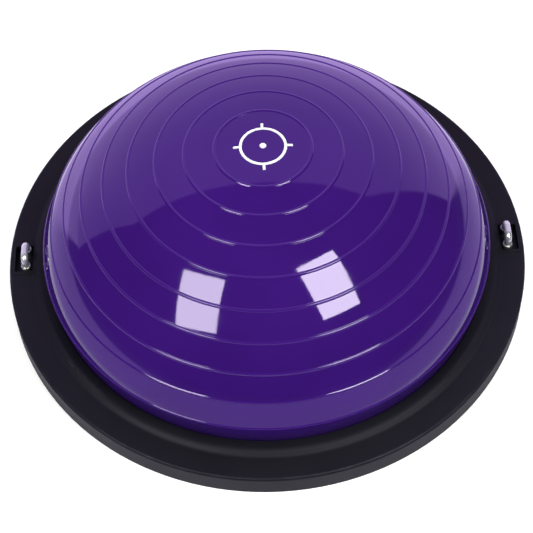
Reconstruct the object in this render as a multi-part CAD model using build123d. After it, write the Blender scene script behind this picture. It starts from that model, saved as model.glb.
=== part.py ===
from build123d import *
from math import acos, cos, pi, radians, sin
import os

# Balance dome trainer: an air-filled dome clamped into a round two-shell platform.
# Millimetres. Origin: centre of the platform at floor level. +Z is up, and the two band
# anchors lie on the X axis.

# ---- driving dimensions ----
RIM_RADIUS = 291.6  # side wall of the platform, just under its rounded edge
RIM_HEIGHT = 27.0  # flat top of the platform rim above the floor
DOME_HEIGHT = 210.5  # crown above the floor
DOME_FOOT_Z = 57.0  # height of the last rib, where the domed wall ends and the neck begins
NECK_RADIUS = 245.5  # foot of the neck
WALL = 3.0  # moulded wall of the shells and of the bladder

# ---- dome bladder ----
# The domed wall follows a slightly squared ellipse that would stand upright below the foot.
ELLIPSE_RADIUS = 253.7
ELLIPSE_CENTRE_Z = 16.0
ELLIPSE_RISE = DOME_HEIGHT - ELLIPSE_CENTRE_Z
ELLIPSE_POWER = 2.06
RIB_COUNT = 8  # evenly spaced ribs, besides the one round the foot
RIB_FIRST_ARC = 51.0  # arc length from the crown to the first rib
RIB_PITCH = 32.6  # arc length between ribs
RIB_RADIUS = 2.2
RIB_PROUD = 0.9
FLANGE_RADIUS = 262.0
FLOOR_Z = 20.5  # underside of the bladder's floor and of its clamped flange
FLANGE_TOP = FLOOR_Z + WALL

# ---- platform ----
BASE_Z = 3.0  # underside of the bottom plate, which stands on its feet
SKIRT_Z = 0.8  # lower edge of the side wall, just clear of the floor
SIDE_FLARE = 0.4  # draft of the side wall, which leans out towards the floor
RIM_FILLET = 3.0
COLLAR_RADIUS = 266.6  # where the collar rises from the flat rim
COLLAR_HOLLOW = 6.5  # radius of the hollow curve at its foot
COLLAR_CROWN = 11.5  # radius of the round curve up to its crest
COLLAR_SLOPE = radians(36.0)  # slope where the two curves meet
CREST_RADIUS = COLLAR_RADIUS - (COLLAR_HOLLOW + COLLAR_CROWN) * sin(COLLAR_SLOPE)
CREST_HEIGHT = RIM_HEIGHT + (COLLAR_HOLLOW + COLLAR_CROWN) * (1 - cos(COLLAR_SLOPE))
CLAMP_RADIUS = 247.1  # inner edge of the lip that clamps the bladder's flange
CLAMP_TOP = 29.4
FLANGE_ROOM = 1.5  # gap round the clamped flange
SKIN = 3.5  # floor skin of the bottom plate
PLATE_RADIUS = 288.4
HUB_BORE = 26.0  # access hole to the valve
STIFFENER = 2.5  # thickness of the plate's spokes and rings
RING_RADII = (90.0, 150.0, 205.0, 255.5)
SPOKE_COUNT = 16
GRIP_HEIGHT = 0.8  # moulded anti-slip rings on the underside
GRIP_WIDTH = 2.4
GRIP_PITCH = 8.0

# ---- screws that join the two shells ----
SCREW_COUNT = 16
SCREW_CIRCLE = 276.0
SCREW_RADIUS = 2.0
SCREW_HEAD_RADIUS = 3.9
SCREW_HEAD_HEIGHT = 2.4
SCREW_SEAT_Z = 5.7
SCREW_LENGTH = 15.0
SCREW_BOSS_SPLIT = 10.0  # height where the plate's boss meets the shell's boss
SCREW_CLEARANCE = 0.02

# ---- feet ----
FOOT_COUNT = 8
FOOT_CIRCLE = 225.0
FOOT_RADIUS = 16.0
FOOT_RECESS = 1.2
FOOT_STEM_RADIUS = 3.4
FOOT_BARB_RADIUS = 4.4

# ---- band anchors ----
WIRE_RADIUS = 4.0
ANCHOR_X = 272.4
ANCHOR_SPAN = 22.5  # between the centres of the two legs
ANCHOR_TOP = 46.0
ANCHOR_BEND = 7.0
SHOULDER_RADIUS = 5.6  # collar on each leg, which stands on the pocket floor
SHOULDER_TOP = 31.0
SHOULDER_ROUND = 1.4
STUD_RADIUS = 3.0  # threaded end of each leg
STUD_FOOT_Z = 7.5
POCKET_X = 275.0
POCKET_WIDTH = 20.0
POCKET_LENGTH = 35.0
POCKET_FLOOR = 20.0
POCKET_WALL = 2.4
POCKET_CORNER = 2.0
FRAME_WIDTH = 3.0  # raised frame round the pocket
FRAME_PROUD = 0.9
FRAME_SHIFT = 0.8  # the frame sits this much nearer the dome than the pocket
STUD_HOLE_RADIUS = 3.2
BACKING_THICKNESS = 2.0
BACKING_MARGIN = 1.0
WASHER_RADIUS = 6.0
WASHER_THICKNESS = 1.6
NUT_FLATS = 10.0
NUT_THICKNESS = 5.0
NUT_BORE = 3.05
NUT_LEAD = 0.6  # height of the chamfer on both faces of a nut

# ---- valve ----
VALVE_HOLE = 9.0
VALVE_BORE = 4.0
VALVE_FOOT_Z = FLOOR_Z - 8.0
PLUG_RUNNING_GAP = 0.05

PRINT_GAP = 0.03  # clearance under the printed crown mark
SIDES = (-1, 1)
OVERLAP = 1.0  # how far an added piece reaches into the one it joins


def half_plane(shape):
    """A flat profile drawn as radius and height, stood up in the XZ plane."""
    return Plane.XZ * shape


def spin(profile):
    """Turns a radius-height profile once round the Z axis."""
    return revolve(half_plane(profile), Axis.Z)


def outline(points):
    """A closed straight-sided profile through radius-height points."""
    return make_face(Polyline(points, close=True))


def block(inner, outer, low, high):
    """A rectangular profile between two radii and two heights."""
    return outline([(inner, low), (outer, low), (outer, high), (inner, high)])


def round_bar(radius, low, high, x=0.0, y=0.0):
    return Pos(x, y, (low + high) / 2) * Cylinder(radius, high - low)


def around(count, radius, first=0.0):
    """Points evenly spaced on a circle, starting at an angle in degrees."""
    for k in range(count):
        angle = radians(first + 360.0 * k / count)
        yield radius * cos(angle), radius * sin(angle)


def one_solid(shape):
    """The single solid that a boolean left."""
    return shape.solids()[0]


# ---- dome ----
def dome_point(angle, inset=0.0):
    """Radius and height on the domed wall; the angle is 0 at the crown."""
    power = 2.0 / ELLIPSE_POWER
    radius = (ELLIPSE_RADIUS - inset) * sin(angle) ** power
    height = ELLIPSE_CENTRE_Z + (ELLIPSE_RISE - inset) * cos(angle) ** power
    return radius, height


def dome_curve(inset=0.0, steps=24):
    """The domed wall's profile as one smooth curve from the crown to its foot."""
    share_left = (DOME_FOOT_Z - ELLIPSE_CENTRE_Z) / (ELLIPSE_RISE - inset)
    foot_angle = acos(share_left ** (ELLIPSE_POWER / 2.0))
    points = [dome_point(foot_angle * k / steps, inset) for k in range(steps + 1)]
    return Spline(points)


def dome_profile(inset, low):
    """Everything under the domed wall and inside the neck, down to a height."""
    curve = dome_curve(inset)
    start, end = curve @ 0, curve @ 1
    sides = Polyline([(end.X, end.Y), (NECK_RADIUS - inset, low), (0, low), (start.X, start.Y)])
    return make_face(curve + sides)


def rib_centres():
    """Centre of each rib's round section, just inside the domed wall."""
    curve = dome_curve()
    arcs = [RIB_FIRST_ARC + k * RIB_PITCH for k in range(RIB_COUNT)]
    depth = RIB_RADIUS - RIB_PROUD
    for arc in arcs + [curve.length]:
        share = arc / curve.length
        point, direction = curve @ share, curve % share
        yield point.X + direction.Y * depth, point.Y - direction.X * depth


def dome_bladder():
    """Hollow PVC bladder: ribbed dome, neck, clamped flange and flat floor."""
    skin = dome_profile(0.0, FLOOR_Z) + block(0, FLANGE_RADIUS, FLOOR_Z, FLANGE_TOP)
    for centre in rib_centres():
        skin += Pos(*centre) * Circle(RIB_RADIUS)
    skin -= dome_profile(WALL, FLANGE_TOP)
    skin -= block(0, VALVE_HOLE, FLOOR_Z, FLANGE_TOP)
    return one_solid(spin(skin))


def crown_print():
    """A plain centring target printed on the crown: one ring, four ticks and a dot."""
    ring_inner, ring_outer, tick_end, tick_width, dot_radius = 22.0, 25.0, 31.0, 3.0, 3.5
    thickness, reach = 0.3, 60.0
    top = spin(dome_profile(-PRINT_GAP - thickness, FLOOR_Z) & block(0, reach, 0, 2 * DOME_HEIGHT))
    skin = top - spin(dome_profile(-PRINT_GAP, FLOOR_Z))
    mark = Circle(ring_outer) - Circle(ring_inner) + Circle(dot_radius)
    tick_start = ring_outer - OVERLAP
    tick = Pos((tick_start + tick_end) / 2, 0) * Rectangle(tick_end - tick_start, tick_width)
    for angle in (0, 90, 180, 270):
        mark += Rot(0, 0, angle) * tick
    column = Pos(0, 0, DOME_HEIGHT / 2) * extrude(mark, DOME_HEIGHT)
    return list((skin & column).solids())


# ---- valve ----
def valve_seat():
    """Rubber seat glued through the bladder's floor."""
    flange_radius, flange_thickness, gap = 18.0, 2.0, 0.1
    profile = block(VALVE_BORE, VALVE_HOLE - gap, VALVE_FOOT_Z, FLANGE_TOP + flange_thickness)
    profile += block(VALVE_BORE, flange_radius, FLANGE_TOP, FLANGE_TOP + flange_thickness)
    return one_solid(spin(profile))


def valve_plug():
    """Push-in plug with a flat head and a finger tab, pulled out downwards."""
    stem = VALVE_BORE - PLUG_RUNNING_GAP
    head_radius, head_thickness, head_gap = 9.5, 2.4, 0.2
    head_high = VALVE_FOOT_Z - head_gap
    head_low = head_high - head_thickness
    tip, tip_length, tip_taper = FLANGE_TOP + 4.0, 3.0, 1.2
    profile = outline(
        [
            (0, head_low),
            (head_radius, head_low),
            (head_radius, head_high),
            (stem, head_high),
            (stem, tip - tip_length),
            (stem - tip_taper, tip),
            (0, tip),
        ]
    )
    tab_length, tab_thickness, tab_depth, tab_corner = 13.0, 2.2, 4.8, 2.0
    tab_low, tab_high = head_low - tab_depth, head_low + OVERLAP
    tab = Pos(0, 0, (tab_low + tab_high) / 2) * Box(tab_length, tab_thickness, tab_high - tab_low)
    tab = fillet(tab.edges().filter_by(Axis.Y).group_by(Axis.Z)[0], tab_corner)
    return one_solid(spin(profile) + tab)


# ---- platform ----
def rim_outline():
    """Section of the upper shell: side wall, rim, curved collar, crest and clamping lip."""
    side_foot = (RIM_RADIUS + SIDE_FLARE, SKIRT_Z)
    side_top = (RIM_RADIUS, RIM_HEIGHT - RIM_FILLET)
    rim_edge = (RIM_RADIUS - RIM_FILLET, RIM_HEIGHT)
    collar_foot = (COLLAR_RADIUS, RIM_HEIGHT)
    crest = (CREST_RADIUS, CREST_HEIGHT)
    half_way = (
        COLLAR_RADIUS - COLLAR_HOLLOW * sin(COLLAR_SLOPE),
        RIM_HEIGHT + COLLAR_HOLLOW * (1 - cos(COLLAR_SLOPE)),
    )
    lip_top = (CLAMP_RADIUS, CLAMP_TOP)
    lip_foot = (CLAMP_RADIUS, FLANGE_TOP)
    under_lip = (FLANGE_RADIUS + FLANGE_ROOM, FLANGE_TOP)
    under_rim = (FLANGE_RADIUS + FLANGE_ROOM, RIM_HEIGHT - WALL)
    inside_top = (RIM_RADIUS - WALL, RIM_HEIGHT - WALL)
    inside_foot = (RIM_RADIUS + SIDE_FLARE - WALL, SKIRT_Z)
    up_the_side = (side_top[0] - side_foot[0], side_top[1] - side_foot[1])
    up_the_slope = (-cos(COLLAR_SLOPE), sin(COLLAR_SLOPE))
    inward = (-1, 0)
    return (
        Line(side_foot, side_top)
        + TangentArc(side_top, rim_edge, tangent=up_the_side)
        + Line(rim_edge, collar_foot)
        + TangentArc(collar_foot, half_way, tangent=inward)
        + TangentArc(half_way, crest, tangent=up_the_slope)
        + TangentArc(crest, lip_top, tangent=inward)
        + Polyline(lip_top, lip_foot, under_lip, under_rim, inside_top, inside_foot, side_foot)
    )


def screw_places():
    """The screws straddle the X axis, which leaves the anchors clear."""
    return list(around(SCREW_COUNT, SCREW_CIRCLE, 180.0 / SCREW_COUNT))


def leg_places():
    """Centres of the four anchor legs."""
    return [(side * ANCHOR_X, end * ANCHOR_SPAN / 2) for side in SIDES for end in SIDES]


def pocket_slab(margin, low, high, x, corner=POCKET_CORNER):
    """A block with the pocket's outline, grown by a margin on every side."""
    sheet = RectangleRounded(POCKET_WIDTH + 2 * margin, POCKET_LENGTH + 2 * margin, corner)
    return Pos(x, 0, low) * extrude(sheet, high - low)


def platform_top_shell():
    """Upper shell: rim, collar and side wall, with a framed pocket for each anchor."""
    shell = spin(make_face(rim_outline()))
    roof = RIM_HEIGHT - WALL / 2
    boss_radius, pilot_top = 5.5, RIM_HEIGHT - WALL - OVERLAP
    for x, y in screw_places():
        shell += round_bar(boss_radius, SCREW_BOSS_SPLIT, roof, x, y)
        shell -= round_bar(SCREW_RADIUS + SCREW_CLEARANCE, SCREW_BOSS_SPLIT, pilot_top, x, y)
    for side in SIDES:
        x = side * POCKET_X
        frame_x, frame_top = x - side * FRAME_SHIFT, RIM_HEIGHT + FRAME_PROUD
        frame = pocket_slab(FRAME_WIDTH, roof, frame_top, frame_x, POCKET_CORNER + FRAME_PROUD)
        frame = chamfer(frame.edges().group_by(Axis.Z)[-1], FRAME_PROUD / 2)
        tub = pocket_slab(POCKET_WALL, POCKET_FLOOR - WALL, roof, x)
        opening = pocket_slab(0, POCKET_FLOOR, CREST_HEIGHT, x)
        shell = shell + frame + tub - opening
    for x, y in leg_places():
        shell -= round_bar(STUD_HOLE_RADIUS, POCKET_FLOOR - WALL, POCKET_FLOOR, x, y)
    return one_solid(shell)


def grip_radii():
    """Radii of the anti-slip rings, which miss the band where the feet stand."""
    radius = HUB_BORE + 2 * GRIP_PITCH
    while radius < SCREW_CIRCLE - GRIP_PITCH - GRIP_WIDTH:
        if abs(radius - FOOT_CIRCLE) > FOOT_RADIUS + GRIP_WIDTH:
            yield radius
        radius += GRIP_PITCH


def platform_bottom_plate():
    """Lower shell: floor skin, stiffening rings and spokes that carry the bladder's floor.

    The spokes run between the feet, so the feet's stems have room above the skin.
    """
    floor_top = BASE_Z + SKIN
    profile = block(HUB_BORE, PLATE_RADIUS, BASE_Z, floor_top)
    profile += block(HUB_BORE, HUB_BORE + WALL, BASE_Z, FLOOR_Z)
    for radius in RING_RADII:
        profile += block(radius, radius + STIFFENER, floor_top, FLOOR_Z)
    for radius in grip_radii():
        profile += block(radius, radius + GRIP_WIDTH, BASE_Z - GRIP_HEIGHT, BASE_Z)
    plate = spin(profile)
    spoke_start, spoke_end = HUB_BORE + WALL / 2, RING_RADII[-1] + STIFFENER / 2
    spoke_height = FLOOR_Z - floor_top + OVERLAP
    spoke = Pos((spoke_start + spoke_end) / 2, 0, FLOOR_Z - spoke_height / 2) * Box(
        spoke_end - spoke_start, STIFFENER, spoke_height
    )
    for k in range(SPOKE_COUNT):
        plate += Rot(0, 0, 360.0 * (k + 0.5) / SPOKE_COUNT) * spoke
    boss_wall, head_room, shank_room, foot_room = 3.0, 0.6, 0.15, 0.2
    for x, y in screw_places():
        plate += round_bar(SCREW_HEAD_RADIUS + boss_wall, BASE_Z, SCREW_BOSS_SPLIT, x, y)
        plate -= round_bar(SCREW_HEAD_RADIUS + head_room, BASE_Z, SCREW_SEAT_Z, x, y)
        plate -= round_bar(SCREW_RADIUS + shank_room, SCREW_SEAT_Z, SCREW_BOSS_SPLIT, x, y)
    for x, y in foot_places():
        plate -= round_bar(FOOT_RADIUS + foot_room, BASE_Z, BASE_Z + FOOT_RECESS, x, y)
        plate -= round_bar(FOOT_STEM_RADIUS + foot_room / 2, BASE_Z, floor_top, x, y)
    return one_solid(plate)


def shell_screws():
    """Pan-head screws driven up through the bottom plate, with cross recesses."""
    head_low, head_edge = SCREW_SEAT_Z - SCREW_HEAD_HEIGHT, 0.8
    shank_top, tip_length, tip_radius = SCREW_SEAT_Z + SCREW_LENGTH, 2.0, 0.5
    profile = outline(
        [
            (0, head_low),
            (SCREW_HEAD_RADIUS - head_edge, head_low),
            (SCREW_HEAD_RADIUS, head_low + head_edge),
            (SCREW_HEAD_RADIUS, SCREW_SEAT_Z),
            (SCREW_RADIUS, SCREW_SEAT_Z),
            (SCREW_RADIUS, shank_top - tip_length),
            (tip_radius, shank_top),
            (0, shank_top),
        ]
    )
    recess_depth, recess_width, recess_length = 1.4, 1.0, 4.4
    recess_z = head_low + recess_depth / 2
    screw = spin(profile)
    for size in ((recess_length, recess_width), (recess_width, recess_length)):
        screw -= Pos(0, 0, recess_z) * Box(*size, recess_depth)
    return [Pos(x, y, 0) * one_solid(screw) for x, y in screw_places()]


# ---- feet ----
def foot_places():
    return list(around(FOOT_COUNT, FOOT_CIRCLE, 180.0 / FOOT_COUNT))


def foot():
    """Rubber foot with a domed edge, a grip groove and a push-in stem."""
    pad_top = BASE_Z + FOOT_RECESS
    barb_low, barb_height, barb_tip_radius = BASE_Z + SKIN + 0.1, 3.4, 2.8
    edge, groove_inner, groove_outer, groove_depth = 1.2, 9.0, 11.0, 0.8
    profile = outline(
        [
            (0, 0),
            (FOOT_RADIUS - edge, 0),
            (FOOT_RADIUS, edge),
            (FOOT_RADIUS, pad_top),
            (FOOT_STEM_RADIUS, pad_top),
            (FOOT_STEM_RADIUS, barb_low),
            (FOOT_BARB_RADIUS, barb_low),
            (barb_tip_radius, barb_low + barb_height),
            (0, barb_low + barb_height),
        ]
    )
    profile -= block(groove_inner, groove_outer, 0, groove_depth)
    return one_solid(spin(profile))


# ---- band anchors ----
def anchor_leg():
    """Foot of one leg: a round shoulder on the pocket floor and a threaded stud below it."""
    lead = 0.6
    profile = outline(
        [
            (0, STUD_FOOT_Z),
            (STUD_RADIUS - lead, STUD_FOOT_Z),
            (STUD_RADIUS, STUD_FOOT_Z + lead),
            (STUD_RADIUS, POCKET_FLOOR),
            (SHOULDER_RADIUS, POCKET_FLOOR),
            (SHOULDER_RADIUS, SHOULDER_TOP),
            (0, SHOULDER_TOP),
        ]
    )
    profile = fillet(profile.vertices().sort_by(Axis.Y)[-2:].sort_by(Axis.X)[-1], SHOULDER_ROUND)
    return one_solid(spin(profile))


def anchor(side):
    """Round steel wire bent into a U that stands on two shouldered studs."""
    reach, top = ANCHOR_SPAN / 2, ANCHOR_TOP - WIRE_RADIUS
    start, bend_low, bar_end = SHOULDER_TOP - OVERLAP, top - ANCHOR_BEND, reach - ANCHOR_BEND
    path = (
        Line((0, -reach, start), (0, -reach, bend_low))
        + TangentArc((0, -reach, bend_low), (0, -bar_end, top), tangent=(0, 0, 1))
        + Line((0, -bar_end, top), (0, bar_end, top))
        + TangentArc((0, bar_end, top), (0, reach, bend_low), tangent=(0, 1, 0))
        + Line((0, reach, bend_low), (0, reach, start))
    )
    section = Plane((0, -reach, start), z_dir=(0, 0, 1)) * Circle(WIRE_RADIUS)
    ring = sweep(section, path=path)
    for end in SIDES:
        ring += Pos(0, end * reach, 0) * anchor_leg()
    return Pos(side * ANCHOR_X, 0, 0) * one_solid(ring)


def anchor_plate(side):
    """Steel plate that spreads the anchor's pull under the pocket floor."""
    top = POCKET_FLOOR - WALL
    low = top - BACKING_THICKNESS
    plate = pocket_slab(-BACKING_MARGIN, low, top, side * POCKET_X)
    for x, y in leg_places():
        plate -= round_bar(STUD_HOLE_RADIUS, low, top, x, y)
    return one_solid(plate)


def washer_height():
    """Underside of the washers, which lie under the backing plates."""
    return POCKET_FLOOR - WALL - BACKING_THICKNESS - WASHER_THICKNESS


def anchor_washers():
    washer = one_solid(spin(block(STUD_HOLE_RADIUS, WASHER_RADIUS, 0, WASHER_THICKNESS)))
    return [Pos(x, y, washer_height()) * washer for x, y in leg_places()]


def anchor_nuts():
    """Hexagon nuts under the washers, both faces chamfered."""
    corner, face = NUT_FLATS / 2 / cos(pi / 6), NUT_FLATS / 2
    turned = outline(
        [
            (NUT_BORE, 0),
            (face, 0),
            (corner, NUT_LEAD),
            (corner, NUT_THICKNESS - NUT_LEAD),
            (face, NUT_THICKNESS),
            (NUT_BORE, NUT_THICKNESS),
        ]
    )
    nut = one_solid(extrude(RegularPolygon(corner, 6), NUT_THICKNESS) & spin(turned))
    return [Pos(x, y, washer_height() - NUT_THICKNESS) * nut for x, y in leg_places()]


def build_nodes():
    """Every named piece, as a list of one or more solids."""
    nodes = {
        "dome_bladder": [dome_bladder()],
        "crown_print": crown_print(),
        "valve_seat": [valve_seat()],
        "valve_plug": [valve_plug()],
        "platform_top_shell": [platform_top_shell()],
        "platform_bottom_plate": [platform_bottom_plate()],
        "shell_screws": shell_screws(),
        "anchor_left": [anchor(-1)],
        "anchor_right": [anchor(1)],
        "anchor_plate_left": [anchor_plate(-1)],
        "anchor_plate_right": [anchor_plate(1)],
        "anchor_washers": anchor_washers(),
        "anchor_nuts": anchor_nuts(),
    }
    rubber_foot = foot()
    for number, (x, y) in enumerate(foot_places(), start=1):
        nodes[f"foot_{number}"] = [Pos(x, y, 0) * rubber_foot]
    return nodes


os.makedirs("parts", exist_ok=True)
for name, solids in build_nodes().items():
    shape = solids[0] if len(solids) == 1 else Compound(children=solids)
    export_step(shape, f"parts/{name}.step")
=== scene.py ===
import math

import bpy
import numpy as np
from mathutils import Matrix, Vector, noise


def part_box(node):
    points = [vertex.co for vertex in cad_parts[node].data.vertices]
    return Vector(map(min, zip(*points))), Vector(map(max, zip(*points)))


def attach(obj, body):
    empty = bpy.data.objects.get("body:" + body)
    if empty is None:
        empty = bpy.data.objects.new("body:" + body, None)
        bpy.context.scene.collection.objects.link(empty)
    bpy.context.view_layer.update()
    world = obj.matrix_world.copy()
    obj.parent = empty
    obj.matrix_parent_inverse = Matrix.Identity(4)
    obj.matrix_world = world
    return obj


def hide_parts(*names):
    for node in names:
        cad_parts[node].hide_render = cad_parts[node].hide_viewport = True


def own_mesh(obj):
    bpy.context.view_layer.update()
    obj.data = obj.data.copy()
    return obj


# Balance dome trainer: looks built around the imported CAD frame. Metres, +Z up.
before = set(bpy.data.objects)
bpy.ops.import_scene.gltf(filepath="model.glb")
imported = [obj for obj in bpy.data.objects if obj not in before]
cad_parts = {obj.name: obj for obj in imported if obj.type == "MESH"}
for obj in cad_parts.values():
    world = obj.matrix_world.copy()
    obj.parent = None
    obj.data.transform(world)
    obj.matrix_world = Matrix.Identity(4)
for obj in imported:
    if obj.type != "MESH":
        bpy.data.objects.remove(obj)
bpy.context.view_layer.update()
MM = 0.001


# ---- sizes taken from the frame ----
BLADDER_LOW, BLADDER_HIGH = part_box("dome_bladder")
FLANGE_RADIUS = BLADDER_HIGH.x
CROWN_Z = BLADDER_HIGH.z
FLOOR_Z = BLADDER_LOW.z  # the bladder's own floor
SHELL_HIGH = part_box("platform_top_shell")[1]
RIM_RADIUS = SHELL_HIGH.x
VALVE_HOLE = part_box("valve_seat")[1].x / 2

# ---- shape of the dome ----
# The wall follows a slightly squared ellipse down to its foot, then a neck that tucks in.
SKIN = 3.0 * MM  # how thick the bladder's wall is
ELLIPSE_RADIUS = FLANGE_RADIUS * 0.9683
ELLIPSE_CENTRE_Z = FLOOR_Z - 4.5 * MM  # the ellipse is widest a little below the bladder's floor
ELLIPSE_POWER = 2.06  # 2 is a true ellipse
FOOT_Z = FLOOR_Z + 36.5 * MM
NECK_RADIUS = FLANGE_RADIUS * 0.937
RIB_COUNT = 8  # evenly spaced ribs, besides the one round the foot
RIB_FIRST_ARC = 51.0 * MM  # along the wall from the crown
RIB_PITCH = 32.6 * MM
RIB_HALF_WIDTH = 1.8 * MM
RIB_HEIGHT = 0.9 * MM
FLANGE_CHAMFER = 0.4 * MM
NECK_CORNER = 1.0 * MM  # how far the neck's foot curves out on the flange
SEGMENTS = 320  # points round the dome
PLAIN_STEP = 3.2 * MM  # spacing of the points between ribs
RIB_STEPS = 10  # points from a rib's crest to its side
INNER_STEPS = 40  # steps along the inside, from foot to crown
WAVER = 0.05 * MM  # how far the skin strays from a true surface
BROAD_WAVES, FINE_WAVES = 14.0, 42.0  # noise cells in a metre
FINE_SHARE = 0.35
FINE_OFFSET = (3.1, 1.7, 0.4)  # keeps the two noises apart

# ---- mark on the crown ----
RING_INNER, RING_OUTER = 22.0 * MM, 25.0 * MM  # radii, as are the next three
DOT_OUTER = 3.5 * MM
DOT_INNER = 0.15 * MM  # the dot is a ring too, with a pinhole
TICK_END = 31.0 * MM
TICK_WIDTH = 3.0 * MM
TICK_COUNT = 4
TICK_CLEARANCE = 0.02 * MM  # between the ring and the start of a tick
INK_LOW, INK_HIGH = 0.02 * MM, 0.16 * MM  # the ink's underside and top above the skin

# ---- platform and anchors: where their materials change ----
FLAT_RIM_Z = SHELL_HIGH.z - 3.4 * MM  # the collar's crest stands this much above the rim
RUB_INNER, RUB_OUTER = RIM_RADIUS - 5.0 * MM, RIM_RADIUS - 2.5 * MM  # the rubbed edge
RUB_LOW_Z, RUB_HIGH_Z = FLAT_RIM_Z - 3.0 * MM, FLAT_RIM_Z - 0.5 * MM
# painted shade on the steel down in its pocket, fading out between these two heights
SHADE_LOW_Z, SHADE_HIGH_Z = SHELL_HIGH.z - 1.5 * MM, SHELL_HIGH.z + 2.5 * MM  # steel in its pocket

# ---- colours; a pair is the darkest and the lightest of a cloudy material ----
WHITE = (1.0, 1.0, 1.0)
VIOLET = (0.0318, 0.0055, 0.133), (0.0368, 0.0065, 0.150)
# the ribs' colour: a painted highlight along their crests
VIOLET_RIB_HIGHLIGHT = (0.060, 0.013, 0.23)
INK = (0.62, 0.56, 0.74), (0.86, 0.86, 0.88)
BLACK = (0.0034, 0.0033, 0.0048), (0.0050, 0.0048, 0.0068)
BLACK_RUBBED = (0.024, 0.023, 0.028)
NICKEL = (0.78, 0.81, 0.76), (0.86, 0.89, 0.84)
NICKEL_SHADED = (0.22, 0.21, 0.23)
ZINC = (0.50, 0.51, 0.54), (0.66, 0.67, 0.70)
FOOT_RUBBER = (0.012, 0.012, 0.013), (0.028, 0.027, 0.027)
SEAT_RUBBER = (0.030, 0.010, 0.090), (0.050, 0.020, 0.130)
PLUG_WHITE = (0.62, 0.62, 0.62), (0.74, 0.74, 0.73)
PAPER = (0.86, 0.86, 0.87), (0.89, 0.89, 0.90)

# ---- studio, in metres ----
FLOOR_SIZE = 14.0
FLOOR_GLOW = 0.35  # added light on the floor for the camera alone
FLOOR_DARK = (0.04, 0.035, 0.045)  # the floor beyond the sheet, as the object sees it
SHEET_RADIUS = 0.85  # how far the sheet under the object reaches
SHEET_FADE = 0.1
SHEET_COLOUR = (0.50, 0.36, 0.77)
SHEET_RIM_COLOUR = (0.90, 0.88, 1.0)  # the sheet close to the platform
SHEET_RIM_NEAR, SHEET_RIM_FAR = RIM_RADIUS + 0.03, RIM_RADIUS + 0.06
BACKDROP_TOP, BACKDROP_LEFT, BACKDROP_RIGHT = 2.30, -3.0, 1.85  # edges, as multiples of its distance
BACKDROP_FADE = 0.03
BACKDROP_RADIANCE = 0.74
BACKDROP_LOW_GAIN = 1.6  # how much brighter it is at the horizon
BACKDROP_LOW_Z = 0.7  # the direction's height where that brightening starts
BACKDROP_CORNER, BACKDROP_CORNER_END = -0.70, -0.95  # the direction's x where it darkens at the left
BACKDROP_CORNER_SHARE = 0.66
BEHIND_FADE = 0.1  # how softly the glow of the floor behind the object ends at its sides
# the glow fading towards the platform is a painted shadow round its foot
BEHIND_RIM_SHARE = 0.22  # how much of that glow is left at the platform's rim
ROOM_RADIANCE = 0.04
VIOLET_ROOM = (0.68, 0.49, 0.99)  # the tint that polished surfaces pick up from the room
DIFFUSE_GAIN = 1.6  # how much more light the room throws than its reflections show
SOFTBOX_COLOUR = (0.98, 1.0, 0.95)
CAMERA_DATUM_Z = 4.0 * MM  # height of the point on the axis that the camera is placed from
CAMERA_DISTANCE = RIM_RADIUS * 5.841
CAMERA_ELEVATION = math.radians(55.14)
CAMERA_AZIMUTH = math.radians(-0.7)
CAMERA_PITCH = math.radians(55.40)
CAMERA_YAW = math.radians(-0.05)
CAMERA_ROLL = math.radians(-2.09)
CAMERA_NEAR, CAMERA_FAR = 0.05, 50.0
LENS = 100.3  # millimetres, as is the sensor's width
SENSOR = 36.0


# ---------------------------------------------------------------- mesh helpers
def new_piece(name, mesh, body, look):
    """Links a mesh as a smooth piece that rides on a body, with its material."""
    obj = bpy.data.objects.new(name, mesh)
    bpy.context.scene.collection.objects.link(obj)
    mesh.materials.append(look)
    for face in mesh.polygons:
        face.use_smooth = True
    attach(obj, body)
    return obj


def spin_mesh(name, profile, segments, displace=None):
    """A closed surface of revolution. The profile is a list of (radius, height, mark); a point with
    no radius is a pole. The marks are kept in the point attribute "rib", for the material."""
    verts, marks, rings = [], [], []
    for radius, height, mark in profile:
        count = segments if radius > 1e-9 else 1
        first = len(verts)
        for k in range(count):
            turn = 2 * math.pi * k / segments
            verts.append((radius * math.cos(turn), radius * math.sin(turn), height))
        marks += [mark] * count
        rings.append([first + k % count for k in range(segments)])
    faces = []
    for upper, lower in zip(rings, rings[1:]):
        for k in range(segments):
            n = (k + 1) % segments
            corners = [upper[k], lower[k], lower[n], upper[n]]
            faces.append(list(dict.fromkeys(corners)))
    if displace:
        verts = [displace(Vector(v)) for v in verts]
    mesh = bpy.data.meshes.new(name)
    mesh.from_pydata(verts, [], faces)
    mesh.update()
    mesh.attributes.new("rib", "FLOAT", "POINT").data.foreach_set("value", marks)
    return mesh


# ---------------------------------------------------------------- dome shape
def dome_point(angle, inset=0.0):
    """Radius and height on the domed wall; angle 0 is the crown."""
    power = 2.0 / ELLIPSE_POWER
    rise = CROWN_Z - ELLIPSE_CENTRE_Z - inset
    radius = (ELLIPSE_RADIUS - inset) * math.sin(angle) ** power
    return radius, ELLIPSE_CENTRE_Z + rise * math.cos(angle) ** power


def foot_angle(inset=0.0):
    """The angle where the domed wall reaches its foot."""
    share_left = (FOOT_Z - ELLIPSE_CENTRE_Z) / (CROWN_Z - ELLIPSE_CENTRE_Z - inset)
    return math.acos(share_left ** (ELLIPSE_POWER / 2.0))


def neck_point(share):
    """Radius and height on the neck, from the domed wall's foot (0) to the flange (1)."""
    foot_radius = dome_point(foot_angle())[0]
    radius = foot_radius + (NECK_RADIUS - foot_radius) * share * share
    return radius, FOOT_Z + (FLOOR_Z + SKIN - FOOT_Z) * share


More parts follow.
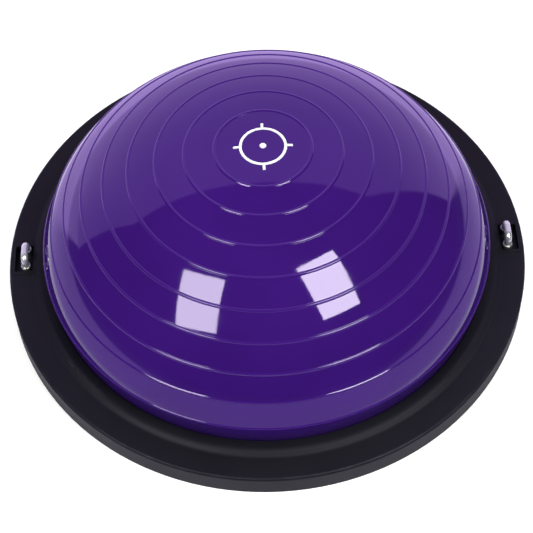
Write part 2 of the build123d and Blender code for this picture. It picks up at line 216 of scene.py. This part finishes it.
def wall_table(dome_steps=4000, neck_steps=400):
    """Arc lengths, points and outward normals down the wall and neck without their ribs, and the arc
    length of the wall's foot."""
    end = foot_angle()
    dome = [dome_point(end * k / dome_steps) for k in range(dome_steps + 1)]
    neck = [neck_point(k / neck_steps) for k in range(1, neck_steps + 1)]
    points = np.array(dome + neck)
    steps_taken = np.diff(points, axis=0)
    arc = np.concatenate([[0.0], np.cumsum(np.hypot(steps_taken[:, 0], steps_taken[:, 1]))])
    slope = np.gradient(points, arc, axis=0)
    normals = np.stack([-slope[:, 1], slope[:, 0]], axis=1)
    return arc, points, normals, arc[dome_steps]


ARC, WALL_POINTS, WALL_NORMALS, FOOT_ARC = wall_table()
RIB_ARCS = [RIB_FIRST_ARC + k * RIB_PITCH for k in range(RIB_COUNT)] + [FOOT_ARC]


def rib_share(arc):
    """How close an arc length is to a rib's crest: 1 on the crest, 0 beside the rib."""
    off = min(abs(arc - rib) for rib in RIB_ARCS) / RIB_HALF_WIDTH
    return 1.0 - off * off if off < 1.0 else 0.0


def wall_at(arc, lift=0.0):
    """Radius and height of the outer wall at an arc length, raised by lift."""
    x, z = (np.interp(arc, ARC, WALL_POINTS[:, k]) for k in (0, 1))
    nx, nz = (np.interp(arc, ARC, WALL_NORMALS[:, k]) for k in (0, 1))
    return x + nx * lift, z + nz * lift


def arc_stations():
    """Arc lengths to draw: close together across each rib, wider between them."""
    end = ARC[-1]
    reach = RIB_HALF_WIDTH * 1.15
    clear = RIB_HALF_WIDTH * 1.25
    stations = set(np.linspace(0.0, end, int(end / PLAIN_STEP)))
    for rib in RIB_ARCS:
        stations = {s for s in stations if abs(s - rib) > clear}
        for k in range(-RIB_STEPS, RIB_STEPS + 1):
            stations.add(rib + reach * k / RIB_STEPS)
    return sorted(s for s in stations if s < end)


def skin_waver(point):
    """A moulded and inflated skin isn't perfectly true: moves a point in or out a little."""
    if point.z < FOOT_Z:
        return point
    out = (point - Vector((0, 0, FOOT_Z))).normalized()
    broad = noise.noise(point * BROAD_WAVES)
    fine = noise.noise(point * FINE_WAVES + Vector(FINE_OFFSET))
    return point + out * WAVER * (broad + fine * FINE_SHARE)


def dome_mesh():
    """The whole bladder as one closed solid: ribbed wall, neck, flange, floor and inside."""
    profile = []
    for arc in arc_stations():
        share = rib_share(arc)
        profile.append((*wall_at(arc, share * RIB_HEIGHT), share))
    top = FLOOR_Z + SKIN
    low = [
        (NECK_RADIUS + NECK_CORNER * 0.3, top + NECK_CORNER * 0.3),
        (NECK_RADIUS + NECK_CORNER, top),
        (FLANGE_RADIUS - FLANGE_CHAMFER, top),
        (FLANGE_RADIUS, top - FLANGE_CHAMFER),
        (FLANGE_RADIUS, FLOOR_Z + FLANGE_CHAMFER),
        (FLANGE_RADIUS - FLANGE_CHAMFER, FLOOR_Z),
        (VALVE_HOLE, FLOOR_Z),
        (VALVE_HOLE, top),
        (NECK_RADIUS - SKIN, top),
    ]
    end = foot_angle(SKIN)
    inner = [dome_point(end * k / INNER_STEPS, SKIN) for k in range(INNER_STEPS, -1, -1)]
    profile += [(radius, height, 0.0) for radius, height in low + inner]
    return spin_mesh("dome", profile, SEGMENTS, skin_waver)


# ---------------------------------------------------------------- node helpers
class Nodes:
    """Short spellings for building a node tree."""

    def __init__(self, tree):
        self.tree = tree
        tree.nodes.clear()

    def add(self, kind, **settings):
        node = self.tree.nodes.new(kind)
        for name, value in settings.items():
            setattr(node, name, value)
        return node

    def put(self, socket, value):
        """Links an output to a socket, or sets the socket to a plain value."""
        if isinstance(value, bpy.types.NodeSocket):
            self.tree.links.new(value, socket)
        else:
            socket.default_value = value

    def calc(self, operation, a, b):
        node = self.add("ShaderNodeMath", operation=operation)
        self.put(node.inputs[0], a)
        self.put(node.inputs[1], b)
        return node.outputs[0]

    def split(self, vector):
        """The x, y and z outputs of a vector."""
        node = self.add("ShaderNodeSeparateXYZ")
        self.put(node.inputs[0], vector)
        return node.outputs

    def length(self, vector):
        node = self.add("ShaderNodeVectorMath", operation="LENGTH")
        self.put(node.inputs[0], vector)
        return node.outputs["Value"]

    def place(self):
        return self.add("ShaderNodeTexCoord").outputs["Object"]

    def stretch(self, vector, scale):
        node = self.add("ShaderNodeMapping")
        self.put(node.inputs["Vector"], vector)
        node.inputs["Scale"].default_value = scale
        return node.outputs[0]

    def noise(self, vector, scale, detail=3.0, rough=0.5):
        node = self.add("ShaderNodeTexNoise")
        self.put(node.inputs["Vector"], vector)
        node.inputs["Scale"].default_value = scale
        node.inputs["Detail"].default_value = detail
        node.inputs["Roughness"].default_value = rough
        return node.outputs["Fac"]

    def cells(self, vector, scale):
        node = self.add("ShaderNodeTexVoronoi")
        self.put(node.inputs["Vector"], vector)
        node.inputs["Scale"].default_value = scale
        return node.outputs["Distance"]

    def remap(self, value, low, high, to_low=0.0, to_high=1.0):
        """Carries low..high over to to_low..to_high, with soft ends and nothing beyond them."""
        node = self.add("ShaderNodeMapRange", interpolation_type="SMOOTHSTEP")
        self.put(node.inputs["Value"], value)
        node.inputs["From Min"].default_value = low
        node.inputs["From Max"].default_value = high
        node.inputs["To Min"].default_value = to_low
        node.inputs["To Max"].default_value = to_high
        return node.outputs[0]

    def mix(self, share, a, b):
        node = self.add("ShaderNodeMix", data_type="RGBA")
        self.put(node.inputs[0], share)
        for socket, value in ((node.inputs[6], a), (node.inputs[7], b)):
            self.put(socket, value if isinstance(value, bpy.types.NodeSocket) else (*value, 1.0))
        return node.outputs[2]

    def bump(self, height, distance, strength):
        node = self.add("ShaderNodeBump")
        self.put(node.inputs["Height"], height)
        node.inputs["Distance"].default_value = distance
        node.inputs["Strength"].default_value = strength
        return node.outputs[0]

    def surface(self, **values):
        """A Principled surface wired to the material's output."""
        shader = self.add("ShaderNodeBsdfPrincipled")
        for name, value in values.items():
            socket = shader.inputs[name.replace("_", " ")]
            if isinstance(value, tuple) and len(value) == 3:
                value = (*value, 1.0)
            self.put(socket, value)
        self.put(self.add("ShaderNodeOutputMaterial").inputs["Surface"], shader.outputs[0])


def material(name):
    made = bpy.data.materials.new(name)
    made.use_nodes = True
    return made, Nodes(made.node_tree)


# ---------------------------------------------------------------- materials
def violet_pvc():
    """Glossy violet PVC: slight colour clouding, soft smears in the gloss, and ribs made paler by a
    painted highlight.
    """
    made, n = material("violet_pvc")
    place = n.place()
    cloud = n.noise(place, 9.0, 2.0)
    rib = n.add("ShaderNodeAttribute", attribute_name="rib").outputs["Fac"]
    colour = n.mix(n.remap(cloud, 0.3, 0.7), *VIOLET)
    # painted highlight: the ribs' crests are mixed towards a paler violet
    colour = n.mix(n.calc("MULTIPLY", rib, 0.25), colour, VIOLET_RIB_HIGHLIGHT)
    smear = n.noise(n.stretch(place, (1.0, 1.0, 2.5)), 22.0, 4.0, 0.6)
    rough = n.remap(smear, 0.35, 0.75, 0.035, 0.065)
    rough = n.calc("ADD", rough, n.calc("MULTIPLY", rib, 0.06))
    peel = n.bump(n.noise(place, 260.0, 1.0), 0.02 * MM, 0.35)
    n.surface(
        Base_Color=colour,
        Roughness=rough,
        IOR=1.5,
        Specular_IOR_Level=0.68,
        Specular_Tint=(0.88, 0.75, 1.0),
        Normal=peel,
    )
    return made


def white_print():
    """Screen-printed white ink, thin enough to let a little violet through."""
    made, n = material("white_print")
    place = n.place()
    pin_holes = n.noise(place, 1400.0, 2.0)
    colour = n.mix(n.remap(pin_holes, 0.30, 0.42), *INK)
    n.surface(Base_Color=colour, Roughness=0.38, Normal=n.bump(pin_holes, 0.03 * MM, 0.4))
    return made


def rubbed_share(n, place):
    """How much the plastic is rubbed: in patches, at the rim's outer edge alone."""
    edge = n.remap(n.length(n.stretch(place, (1.0, 1.0, 0.0))), RUB_INNER, RUB_OUTER)
    near_top = n.remap(n.split(place)[2], RUB_LOW_Z, RUB_HIGH_Z)
    patchy = n.remap(n.noise(n.stretch(place, (1.0, 1.0, 4.0)), 60.0, 5.0, 0.7), 0.42, 0.66)
    return n.calc("MULTIPLY", n.calc("MULTIPLY", edge, near_top), patchy)


def black_plastic(name, rubbed=False):
    """Satin black moulded plastic with a fine spark-eroded grain, its outer edge rubbed or not."""
    made, n = material(name)
    place = n.place()
    cloud = n.noise(place, 11.0, 3.0)
    grain = n.noise(place, 1500.0, 3.0, 0.65)
    pits = n.cells(place, 900.0)
    colour = n.mix(n.remap(cloud, 0.3, 0.7), *BLACK)
    rough = n.calc("ADD", n.remap(cloud, 0.3, 0.7, 0.48, 0.54), n.calc("MULTIPLY", grain, 0.06))
    if rubbed:
        rub = rubbed_share(n, place)
        colour = n.mix(n.calc("MULTIPLY", rub, 0.3), colour, BLACK_RUBBED)
        rough = n.calc("SUBTRACT", rough, n.calc("MULTIPLY", rub, 0.10))
    height = n.calc("ADD", n.calc("MULTIPLY", grain, 0.6), n.calc("MULTIPLY", pits, 0.4))
    n.surface(
        Base_Color=colour,
        Roughness=rough,
        Specular_IOR_Level=0.26,
        Specular_Tint=(0.80, 0.78, 1.0),
        Normal=n.bump(height, 0.06 * MM, 0.5),
    )
    return made


def bright_steel():
    """Nickel-plated steel: satin, with drawing lines and dull spots, darker down in its pocket as
    painted shade.
    """
    made, n = material("bright_steel")
    place = n.place()
    lines = n.noise(n.stretch(place, (1.0, 0.05, 1.0)), 1200.0, 2.0)
    spots = n.noise(place, 420.0, 3.0)
    bright = n.mix(n.remap(spots, 0.3, 0.7), *NICKEL)
    # painted shade: the steel is darker below the collar's crest, in its pocket
    above = n.remap(n.split(place)[2], SHADE_LOW_Z, SHADE_HIGH_Z)
    colour = n.mix(above, NICKEL_SHADED, bright)
    rough = n.remap(spots, 0.35, 0.7, 0.27, 0.34)
    n.surface(Base_Color=colour, Metallic=0.78, Roughness=rough, Normal=n.bump(lines, 0.02 * MM, 0.1))
    return made


def zinc_steel():
    """Zinc-plated hardware, a little blue and cloudy."""
    made, n = material("zinc_steel")
    place = n.place()
    cloud = n.noise(place, 500.0, 4.0, 0.6)
    colour = n.mix(n.remap(cloud, 0.3, 0.7), *ZINC)
    n.surface(
        Base_Color=colour,
        Metallic=1.0,
        Roughness=n.remap(cloud, 0.3, 0.7, 0.26, 0.42),
        Normal=n.bump(cloud, 0.03 * MM, 0.3),
    )
    return made


def rubber(name, dark, light):
    """Matt moulded rubber with a powdery bloom and small pores."""
    made, n = material(name)
    place = n.place()
    bloom = n.noise(place, 120.0, 5.0, 0.65)
    pores = n.cells(place, 1800.0)
    n.surface(
        Base_Color=n.mix(n.remap(bloom, 0.35, 0.7), dark, light),
        Roughness=n.remap(bloom, 0.3, 0.7, 0.62, 0.82),
        Specular_IOR_Level=0.3,
        Normal=n.bump(pores, 0.06 * MM, 0.5),
    )
    return made


def white_plastic():
    """Satin white polyethylene of the valve plug."""
    made, n = material("white_plastic")
    place = n.place()
    cloud = n.noise(place, 240.0, 4.0)
    n.surface(
        Base_Color=n.mix(n.remap(cloud, 0.3, 0.7), *PLUG_WHITE),
        Roughness=n.remap(cloud, 0.3, 0.7, 0.35, 0.5),
        Subsurface_Weight=0.1,
        Subsurface_Scale=2.0 * MM,
        Normal=n.bump(n.noise(place, 1600.0), 0.02 * MM, 0.3),
    )
    return made


# ---------------------------------------------------------------- object pieces
def build_dome(pvc):
    """The bladder, one closed mesh that rides on the dome body."""
    dome = new_piece("dome_skin", dome_mesh(), "dome", pvc)
    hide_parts("dome_bladder")
    flatten_with_dome(dome)


def flatten_with_dome(piece):
    """Gives the piece its own copy of its mesh."""
    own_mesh(piece)


def on_crown(x, y, lift):
    """The point of the crown's surface above a place, raised by lift."""
    arc = float(np.interp(math.hypot(x, y), WALL_POINTS[:, 0], ARC))
    return Vector((x, y, wall_at(arc, lift)[1]))


def add_patch(verts, faces, rows, closed=False):
    """Adds a thin printed patch from rows of (x, y) points, laid on the crown, top and bottom. In a
    closed patch each row ends where it starts."""
    first = len(verts)
    wide, deep = len(rows[0]), len(rows)
    for lift in (INK_LOW, INK_HIGH):
        for row in rows:
            verts += [on_crown(x, y, lift) for x, y in row]

    def at(layer, row, column):
        return first + layer * wide * deep + row * wide + column % wide

    def edge(start, end):
        """The strip that joins the two layers between neighbouring points of the outline."""
        return [at(0, *start), at(1, *start), at(1, *end), at(0, *end)]

    across = wide if closed else wide - 1
    for r in range(deep - 1):
        for c in range(across):
            corners = [(r, c), (r + 1, c), (r + 1, c + 1), (r, c + 1)]
            faces.append([at(1, *p) for p in corners])
            faces.append([at(0, *p) for p in reversed(corners)])
    for c in range(across):
        faces.append(edge((0, c), (0, c + 1))[::-1])
        faces.append(edge((deep - 1, c), (deep - 1, c + 1)))
    if not closed:
        for r in range(deep - 1):
            faces.append(edge((r, 0), (r + 1, 0)))
            faces.append(edge((r, wide - 1), (r + 1, wide - 1))[::-1])


def ring_rows(inner, outer, count=96, rows=4):
    """A ring round the crown."""
    radii = [inner + (outer - inner) * k / (rows - 1) for k in range(rows)]
    turns = [2 * math.pi * k / count for k in range(count)]
    return [[(r * math.cos(t), r * math.sin(t)) for t in turns] for r in radii]


def tick_rows(start, end, width, turn, rows=6):
    """A straight tick that points away from the centre."""
    along = [start + (end - start) * k / (rows - 1) for k in range(rows)]
    sides = (width / 2, 0.0, -width / 2)
    cos_t, sin_t = math.cos(turn), math.sin(turn)
    return [[(a * cos_t - s * sin_t, a * sin_t + s * cos_t) for s in sides] for a in along]


def build_crown_mark(ink):
    """A plain centring target: a ring, four ticks outside it and a dot in the middle."""
    verts, faces = [], []
    add_patch(verts, faces, ring_rows(RING_INNER, RING_OUTER), closed=True)
    add_patch(verts, faces, ring_rows(DOT_INNER, DOT_OUTER, 48), closed=True)
    for k in range(TICK_COUNT):
        turn = 2 * math.pi * k / TICK_COUNT
        tick = tick_rows(RING_OUTER + TICK_CLEARANCE, TICK_END, TICK_WIDTH, turn)
        add_patch(verts, faces, tick)
    mesh = bpy.data.meshes.new("crown_mark")
    mesh.from_pydata(verts, [], faces)
    mesh.update()
    mark = new_piece("crown_mark", mesh, "dome", ink)
    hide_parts("crown_print")
    flatten_with_dome(mark)


def dress(material_for):
    """Gives each CAD node that stays its procedural material."""
    for name, made in material_for.items():
        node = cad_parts[name]
        node.data.materials.clear()
        node.data.materials.append(made)


def build_object():
    plastic = black_plastic("platform_plastic", rubbed=True)
    under = black_plastic("underside_plastic")
    steel, zinc = bright_steel(), zinc_steel()
    foot_rubber = rubber("foot_rubber", *FOOT_RUBBER)
    seat_rubber = rubber("seat_rubber", *SEAT_RUBBER)
    build_dome(violet_pvc())
    build_crown_mark(white_print())
    dressed = {
        "platform_top_shell": plastic,
        "platform_bottom_plate": under,
        "shell_screws": zinc,
        "anchor_plate_left": zinc,
        "anchor_plate_right": zinc,
        "anchor_left": steel,
        "anchor_right": steel,
        "anchor_washers": steel,
        "anchor_nuts": steel,
        "valve_seat": seat_rubber,
        "valve_plug": white_plastic(),
    }
    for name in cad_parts:
        if name.startswith("foot_"):
            dressed[name] = foot_rubber
    dress(dressed)


# ---------------------------------------------------------------- studio
def between(n, x, y, fade):
    """How far a place or a direction lies between the backdrop's left and right edges."""
    from_left = n.calc("SUBTRACT", x, n.calc("MULTIPLY", y, BACKDROP_LEFT))
    from_right = n.calc("SUBTRACT", n.calc("MULTIPLY", y, BACKDROP_RIGHT), x)
    return n.calc("MULTIPLY", n.remap(from_left, -fade, fade), n.remap(from_right, -fade, fade))


def floor_paint():
    """The floor as two viewers see it. The camera sees white paper, lit right out. The object sees a
    dark floor with a violet sheet round it, paler close to the platform, and behind it the floor
    glows like the backdrop."""
    made, n = material("studio_floor")
    place = n.place()
    seen = n.add("ShaderNodeLightPath").outputs["Is Camera Ray"]
    reach = n.length(place)
    x, y, _ = n.split(place)
    on_sheet = n.remap(reach, SHEET_RADIUS + SHEET_FADE, SHEET_RADIUS - SHEET_FADE)
    sheet = n.mix(on_sheet, FLOOR_DARK, SHEET_COLOUR)
    sheet = n.mix(n.remap(reach, SHEET_RIM_FAR, SHEET_RIM_NEAR), sheet, SHEET_RIM_COLOUR)
    paper = n.mix(n.noise(place, 30.0, 3.0), *PAPER)
    behind = n.calc("MULTIPLY", between(n, x, y, BEHIND_FADE), n.calc("SUBTRACT", 1.0, seen))
    # painted shadow: the glow behind the object fades towards the platform's rim
    away = n.remap(reach, RIM_RADIUS, SHEET_RADIUS, BEHIND_RIM_SHARE, 1.0)
    glow = n.calc("MULTIPLY", n.calc("MULTIPLY", behind, away), BACKDROP_RADIANCE * BACKDROP_LOW_GAIN)
    n.surface(
        Base_Color=n.mix(seen, sheet, paper),
        Roughness=0.75,
        Specular_IOR_Level=0.2,
        Emission_Color=n.mix(seen, VIOLET_ROOM, WHITE),
        Emission_Strength=n.calc("ADD", n.calc("MULTIPLY", seen, FLOOR_GLOW), glow),
    )
    return made


def build_floor():
    """A wide flat floor."""
    half = FLOOR_SIZE / 2
    mesh = bpy.data.meshes.new("studio_floor")
    corners = [(-half, -half, 0), (half, -half, 0), (half, half, 0), (-half, half, 0)]
    mesh.from_pydata(corners, [], [(0, 1, 2, 3)])
    mesh.materials.append(floor_paint())
    floor = bpy.data.objects.new("studio_floor", mesh)
    bpy.context.scene.collection.objects.link(floor)


def build_world():
    """A dim room with one tall pale backdrop behind the object; the camera itself sees white."""
    world = bpy.data.worlds.new("studio")
    bpy.context.scene.world = world
    world.use_nodes = True
    n = Nodes(world.node_tree)
    x, y, z = n.split(n.add("ShaderNodeTexCoord").outputs["Generated"])
    below_top = n.calc("SUBTRACT", n.calc("MULTIPLY", y, BACKDROP_TOP), z)
    under_top = n.remap(below_top, -BACKDROP_FADE, BACKDROP_FADE)
    backdrop = n.calc("MULTIPLY", under_top, between(n, x, y, BACKDROP_FADE))
    radiance = n.remap(z, BACKDROP_LOW_Z, 0.0, BACKDROP_RADIANCE, BACKDROP_RADIANCE * BACKDROP_LOW_GAIN)
    corner = n.remap(x, BACKDROP_CORNER_END, BACKDROP_CORNER, BACKDROP_CORNER_SHARE, 1.0)
    lit = n.calc("MULTIPLY", backdrop, n.calc("MULTIPLY", radiance, corner))
    light = n.calc("ADD", lit, ROOM_RADIANCE)
    paths = n.add("ShaderNodeLightPath")
    seen, mirrored = paths.outputs["Is Camera Ray"], paths.outputs["Is Glossy Ray"]
    gain = n.calc("ADD", DIFFUSE_GAIN, n.calc("MULTIPLY", mirrored, 1.0 - DIFFUSE_GAIN))
    thrown = n.calc("MULTIPLY", n.calc("SUBTRACT", 1.0, seen), n.calc("MULTIPLY", light, gain))
    background = n.add("ShaderNodeBackground")
    n.put(background.inputs["Color"], n.mix(mirrored, WHITE, VIOLET_ROOM))
    n.put(background.inputs["Strength"], n.calc("ADD", seen, thrown))
    n.put(n.add("ShaderNodeOutputWorld").inputs["Surface"], background.outputs[0])


def build_softbox(name, place, across, width, height, radiance):
    """A rectangular softbox that faces the dome; across is the direction of its lower edge."""
    light = bpy.data.lights.new(name, "AREA")
    light.shape = "RECTANGLE"
    light.size, light.size_y = width, height
    light.energy = radiance * width * height * math.pi
    light.color = SOFTBOX_COLOUR
    lamp = bpy.data.objects.new(name, light)
    bpy.context.scene.collection.objects.link(lamp)
    back = (Vector(place) - Vector((0, 0, CROWN_Z / 2))).normalized()
    right = Vector(across) - back * Vector(across).dot(back)
    right.normalize()
    up = back.cross(right)
    turn = Matrix((right, up, back)).transposed().to_4x4()
    lamp.matrix_world = Matrix.Translation(place) @ turn


def build_camera():
    """A long lens looking down on the dome from the front."""
    camera = bpy.data.cameras.new("camera")
    camera.lens, camera.sensor_width = LENS, SENSOR
    camera.clip_start, camera.clip_end = CAMERA_NEAR, CAMERA_FAR
    shot = bpy.data.objects.new("camera", camera)
    bpy.context.scene.collection.objects.link(shot)
    reach = CAMERA_DISTANCE * math.cos(CAMERA_ELEVATION)
    place = Vector((0, -reach, CAMERA_DATUM_Z + CAMERA_DISTANCE * math.sin(CAMERA_ELEVATION)))
    flat = math.cos(CAMERA_PITCH)
    ahead = Vector((math.sin(CAMERA_YAW) * flat, math.cos(CAMERA_YAW) * flat, -math.sin(CAMERA_PITCH)))
    level = ahead.cross(Vector((0, 0, 1))).normalized()
    upright = level.cross(ahead)
    right = level * math.cos(CAMERA_ROLL) + upright * math.sin(CAMERA_ROLL)
    up = upright * math.cos(CAMERA_ROLL) - level * math.sin(CAMERA_ROLL)
    turn = Matrix((right, up, -ahead)).transposed().to_4x4()
    swing = Matrix.Rotation(CAMERA_AZIMUTH, 4, "Z")
    shot.matrix_world = swing @ Matrix.Translation(place) @ turn
    bpy.context.scene.camera = shot


def build_lamps():
    """Two softboxes in front of the dome and above it, one on each side."""
    build_softbox(
        "softbox_left",
        place=(-1.02, -1.02, 1.56),
        across=(0.84, -0.47, 0.28),
        width=0.66,
        height=1.02,
        radiance=12.2,
    )
    build_softbox(
        "softbox_right",
        place=(0.87, -0.88, 1.71),
        across=(0.81, 0.56, -0.16),
        width=0.63,
        height=1.06,
        radiance=15.0,
    )


def build_studio():
    build_floor()
    build_world()
    build_lamps()
    build_camera()
    bpy.context.scene.view_settings.view_transform = "Standard"


build_object()
build_studio()
